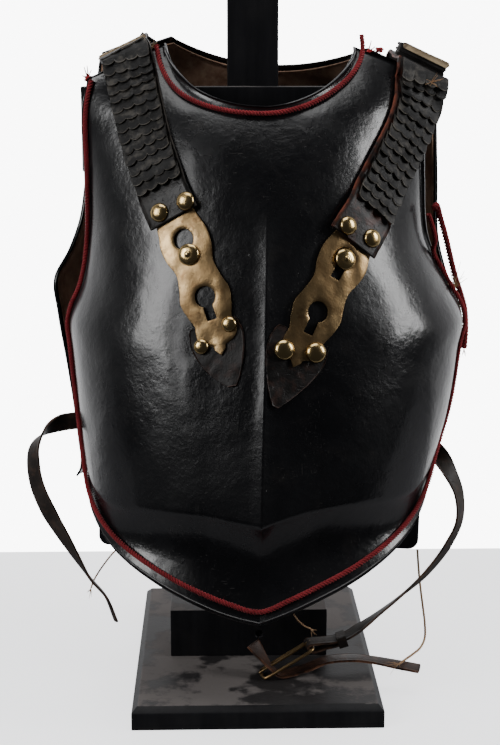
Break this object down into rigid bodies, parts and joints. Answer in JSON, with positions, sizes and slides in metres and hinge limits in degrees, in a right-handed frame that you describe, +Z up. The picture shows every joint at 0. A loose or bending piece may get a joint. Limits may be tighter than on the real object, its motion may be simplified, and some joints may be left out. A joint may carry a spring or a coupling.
{
  "type": "cuirass on a plain wooden stand",
  "caption": "Blackened steel breastplate and backplate with red cord edging, scaled leather shoulder straps, brass keyhole plates and side belts, held on a plain black wooden post stand.",
  "frame": {"origin": "centre of the base board's underside", "axes": "+Z up along the post, front of the breastplate towards -Y, +X towards the viewer's right as seen from the front"},
  "size_m": [0.3994, 0.309, 0.632],
  "materials": {
    "black_wood": "satin",
    "blackened_steel": "satin",
    "lining_leather": "matte",
    "red_wool": "matte",
    "twine": "matte",
    "tan_leather": "matte",
    "brown_leather": "satin",
    "black_leather": "satin",
    "brass": "satin"
  },
  "bodies": {
    "root": {"base_board": "black_wood", "post": "black_wood", "front_block": "black_wood", "shoulder_board": "black_wood", "waist_board": "black_wood", "breastplate": "blackened_steel", "backplate": "blackened_steel", "backplate_lining": "lining_leather", "neck_cord": "red_wool", "edge_cord": "red_wool", "loose_cord": "red_wool", "left_strap": "black_leather", "left_scales_1": "black_leather", "left_scales_2": "black_leather", "left_scales_3": "black_leather", "left_scales_4": "black_leather", "left_scales_5": "black_leather", "left_scales_6": "black_leather", "left_scales_7": "black_leather", "left_back_scales": "black_leather", "left_brass_plate": "brass", "left_leather_tab": "black_leather", "left_upper_rivet_outer": "brass", "left_lower_rivet_outer": "brass", "left_back_rivet_outer": "brass", "left_upper_rivet_inner": "brass", "left_lower_rivet_inner": "brass", "left_back_rivet_inner": "brass", "left_stud": "brass", "right_strap": "brown_leather", "right_scales_1": "black_leather", "right_scales_2": "black_leather", "right_scales_3": "black_leather", "right_scales_4": "black_leather", "right_scales_5": "black_leather", "right_scales_6": "black_leather", "right_back_scales": "black_leather", "right_brass_plate": "brass", "right_leather_tab": "black_leather", "right_upper_rivet_outer": "brass", "right_lower_rivet_outer": "brass", "right_back_rivet_outer": "brass", "right_upper_rivet_inner": "brass", "right_lower_rivet_inner": "brass", "right_back_rivet_inner": "brass", "right_stud": "brass", "left_crest_strip": "tan_leather", "right_crest_stack": "black_leather", "right_crest_strip": "tan_leather", "left_belt": "brown_leather", "right_belt": "brown_leather", "buckle_strap": "brown_leather", "buckle_frame": "brass", "belt_keeper": "brown_leather", "right_twine": "twine", "left_twine": "twine", "short_thread": "twine"}
  },
  "joints": []
}
